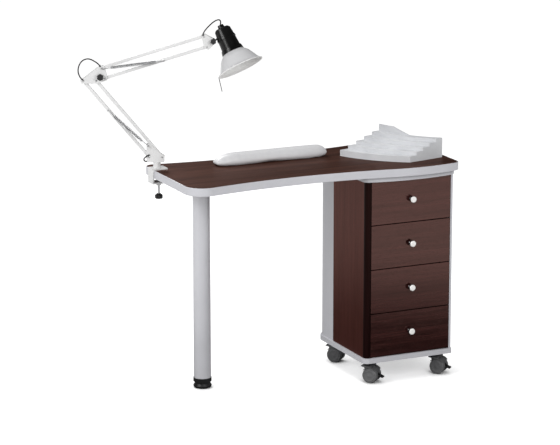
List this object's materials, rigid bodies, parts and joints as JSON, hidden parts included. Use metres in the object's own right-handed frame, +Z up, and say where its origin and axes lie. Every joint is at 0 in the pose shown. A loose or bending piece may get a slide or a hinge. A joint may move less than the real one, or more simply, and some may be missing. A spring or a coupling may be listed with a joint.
{
  "type": "manicure table",
  "caption": "Manicure table: curved dark wood top on a round leg and a drawer cabinet on castors, with a clamp-on spring-arm lamp, hand rest and stepped bottle rack.",
  "frame": {"origin": "middle of the underside of the leg's levelling foot, on the floor", "axes": "+Z up, +X along the table top towards the drawer cabinet, +Y away from the side the drawers open to"},
  "size_m": [1.2434, 0.4682, 1.292],
  "materials": {
    "wenge": "dark wenge veneer, satin",
    "dark_wenge": "near black brown, satin",
    "silver_panel": "silver-grey laminate, satin",
    "drawer_board": "light grey laminated board",
    "runner_steel": "zinc plated",
    "pearl_plastic": "pearl white",
    "silver_metal": "silver powder coat, satin",
    "steel": "zinc plated",
    "black_plastic": "black moulded plastic",
    "castor_plastic": "dark grey moulded plastic",
    "castor_wheel": "dark grey moulded nylon",
    "black_cap": "black moulded plastic",
    "spring_steel": "bright spring wire",
    "cable_rubber": "black cable sheath",
    "bulb_glass": "frosted glass",
    "handle_steel": "dark grey rod",
    "white_vinyl": "white padded vinyl",
    "white_plastic": "light grey-white moulded plastic",
    "white_enamel": "white enamel, gloss"
  },
  "bodies": {
    "table": {"tabletop": "wenge", "tabletop_edge_band": "silver_panel", "cabinet_top_plate": "silver_panel", "cabinet_bottom_plate": "silver_panel", "left_side_panel": "wenge", "right_side_panel": "silver_panel", "front_corner_post": "dark_wenge", "right_front_trim": "silver_panel", "curved_back_panel": "silver_panel", "drawer_runners": "runner_steel", "leg_tube": "silver_metal", "leg_flange": "steel", "leg_collar": "black_plastic", "lamp_clamp": "white_enamel", "hand_rest_pad": "white_vinyl", "bottle_rack": "white_plastic"},
    "foot": {"levelling_foot": "black_plastic"},
    "drawer_1": {"drawer_front_1": "wenge", "drawer_box_1": "drawer_board", "drawer_knob_1": "pearl_plastic"},
    "drawer_2": {"drawer_front_2": "wenge", "drawer_box_2": "drawer_board", "drawer_knob_2": "pearl_plastic"},
    "drawer_3": {"drawer_front_3": "wenge", "drawer_box_3": "drawer_board", "drawer_knob_3": "pearl_plastic"},
    "drawer_4": {"drawer_front_4": "wenge", "drawer_box_4": "drawer_board", "drawer_knob_4": "pearl_plastic"},
    "castor_front_left": {"castor_body_front_left": "castor_plastic"},
    "wheels_front_left": {"castor_wheels_front_left": "castor_wheel"},
    "brake_front_left": {"brake_lever_front_left": "black_plastic"},
    "castor_front_right": {"castor_body_front_right": "castor_plastic"},
    "wheels_front_right": {"castor_wheels_front_right": "castor_wheel"},
    "brake_front_right": {"brake_lever_front_right": "black_plastic"},
    "castor_rear_left": {"castor_body_rear_left": "castor_plastic"},
    "wheels_rear_left": {"castor_wheels_rear_left": "castor_wheel"},
    "castor_rear_right": {"castor_body_rear_right": "castor_plastic"},
    "wheels_rear_right": {"castor_wheels_rear_right": "castor_wheel"},
    "clamp_screw": {"clamp_screw": "steel", "clamp_knob": "black_plastic"},
    "lamp_base": {"lamp_base": "white_enamel", "base_cable": "cable_rubber", "lower_spring": "spring_steel"},
    "lower_arm": {"lower_arm_bar": "white_enamel"},
    "lower_link": {"lower_link_bar": "white_enamel"},
    "elbow": {"lamp_elbow": "white_enamel", "elbow_cable": "cable_rubber", "upper_spring": "spring_steel"},
    "elbow_knob": {"elbow_knob": "black_plastic"},
    "upper_arm": {"upper_arm_bar": "white_enamel"},
    "upper_link": {"upper_link_bar": "white_enamel"},
    "head_bracket": {"head_bracket": "white_enamel", "head_cable": "cable_rubber"},
    "head_knob": {"head_knob": "black_plastic"},
    "lamp_head": {"head_stem": "black_cap", "lamp_cap": "black_cap", "lamp_shade": "white_enamel", "lamp_bulb": "bulb_glass", "shade_handle": "handle_steel"}
  },
  "joints": [
    {"name": "foot_level", "type": "slide", "parent": "table", "child": "foot", "axis": [0, 0, -1], "range_m": [0, 0.012]},
    {"name": "drawer_1_slide", "type": "slide", "parent": "table", "child": "drawer_1", "axis": [0, -1, 0], "range_m": [0, 0.2]},
    {"name": "drawer_2_slide", "type": "slide", "parent": "table", "child": "drawer_2", "axis": [0, -1, 0], "range_m": [0, 0.2]},
    {"name": "drawer_3_slide", "type": "slide", "parent": "table", "child": "drawer_3", "axis": [0, -1, 0], "range_m": [0, 0.2]},
    {"name": "drawer_4_slide", "type": "slide", "parent": "table", "child": "drawer_4", "axis": [0, -1, 0], "range_m": [0, 0.2]},
    {"name": "castor_swivel_front_left", "type": "hinge", "parent": "table", "child": "castor_front_left", "pos_m": [0.55, -0.181, 0.08], "axis": [0, 0, 1], "continuous": true},
    {"name": "wheel_roll_front_left", "type": "hinge", "parent": "castor_front_left", "child": "wheels_front_left", "pos_m": [0.56157, -0.19479, 0.027], "axis": [0.766, 0.6428, 0], "continuous": true},
    {"name": "brake_front_left", "type": "hinge", "parent": "castor_front_left", "child": "brake_front_left", "pos_m": [0.57571, -0.21164, 0.033], "axis": [0.766, 0.6428, 0], "range_deg": [0, 10]},
    {"name": "castor_swivel_front_right", "type": "hinge", "parent": "table", "child": "castor_front_right", "pos_m": [0.816, -0.181, 0.08], "axis": [0, 0, 1], "continuous": true},
    {"name": "wheel_roll_front_right", "type": "hinge", "parent": "castor_front_right", "child": "wheels_front_right", "pos_m": [0.82757, -0.19479, 0.027], "axis": [0.766, 0.6428, 0], "continuous": true},
    {"name": "brake_front_right", "type": "hinge", "parent": "castor_front_right", "child": "brake_front_right", "pos_m": [0.84171, -0.21164, 0.033], "axis": [0.766, 0.6428, 0], "range_deg": [0, 10]},
    {"name": "castor_swivel_rear_left", "type": "hinge", "parent": "table", "child": "castor_rear_left", "pos_m": [0.55, 0.102, 0.08], "axis": [0, 0, 1], "continuous": true},
    {"name": "wheel_roll_rear_left", "type": "hinge", "parent": "castor_rear_left", "child": "wheels_rear_left", "pos_m": [0.56157, 0.08821, 0.027], "axis": [0.766, 0.6428, 0], "continuous": true},
    {"name": "castor_swivel_rear_right", "type": "hinge", "parent": "table", "child": "castor_rear_right", "pos_m": [0.816, 0.102, 0.08], "axis": [0, 0, 1], "continuous": true},
    {"name": "wheel_roll_rear_right", "type": "hinge", "parent": "castor_rear_right", "child": "wheels_rear_right", "pos_m": [0.82757, 0.08821, 0.027], "axis": [0.766, 0.6428, 0], "continuous": true},
    {"name": "clamp_screw_slide", "type": "slide", "parent": "table", "child": "clamp_screw", "axis": [0, 0, -1], "range_m": [0, 0.01]},
    {"name": "lamp_swivel", "type": "hinge", "parent": "table", "child": "lamp_base", "pos_m": [-0.133, 0.072, 0.8], "axis": [0, 0, 1], "continuous": true},
    {"name": "lower_arm_lift", "type": "hinge", "parent": "lamp_base", "child": "lower_arm", "pos_m": [-0.15684, 0.08237, 0.818], "axis": [0.3987, 0.9171, 0], "range_deg": [-25, 30], "deforming": ["lower_spring"]},
    {"name": "lower_link_lift", "type": "hinge", "parent": "lamp_base", "child": "lower_link", "pos_m": [-0.11649, 0.06482, 0.818], "axis": [0.3987, 0.9171, 0], "range_deg": [-25, 30]},
    {"name": "elbow_level", "type": "hinge", "parent": "lower_arm", "child": "elbow", "pos_m": [-0.35936, 0.17043, 1.08306], "axis": [0.3987, 0.9171, 0], "range_deg": [-30, 25]},
    {"name": "elbow_knob_turn", "type": "hinge", "parent": "elbow", "child": "elbow_knob", "pos_m": [-0.30526, 0.1469, 1.09706], "axis": [0.3987, 0.9171, 0], "range_deg": [-180, 180]},
    {"name": "upper_arm_lift", "type": "hinge", "parent": "elbow", "child": "upper_arm", "pos_m": [-0.30067, 0.14491, 1.12706], "axis": [0.3987, 0.9171, 0], "range_deg": [-30, 25]},
    {"name": "upper_link_lift", "type": "hinge", "parent": "elbow", "child": "upper_link", "pos_m": [-0.2915, 0.14092, 1.09106], "axis": [0.3987, 0.9171, 0], "range_deg": [-30, 25], "deforming": ["upper_spring"]},
    {"name": "head_level", "type": "hinge", "parent": "upper_arm", "child": "head_bracket", "pos_m": [0.0168, 0.00687, 1.2329], "axis": [0.3987, 0.9171, 0], "range_deg": [-25, 30]},
    {"name": "head_knob_turn", "type": "hinge", "parent": "head_bracket", "child": "head_knob", "pos_m": [0.04614, -0.00589, 1.2179], "axis": [0.3987, 0.9171, 0], "range_deg": [-180, 180]},
    {"name": "head_tilt", "type": "hinge", "parent": "head_bracket", "child": "lamp_head", "pos_m": [0.04614, -0.00589, 1.2179], "axis": [0.3987, 0.9171, 0], "range_deg": [-35, 30], "deforming": ["head_cable"]}
  ],
  "couplings": [
    {"joint": "lower_link_lift", "follows": "lower_arm_lift", "ratio": 1},
    {"joint": "elbow_level", "follows": "lower_arm_lift", "ratio": -1},
    {"joint": "upper_link_lift", "follows": "upper_arm_lift", "ratio": 1},
    {"joint": "head_level", "follows": "upper_arm_lift", "ratio": -1}
  ]
}
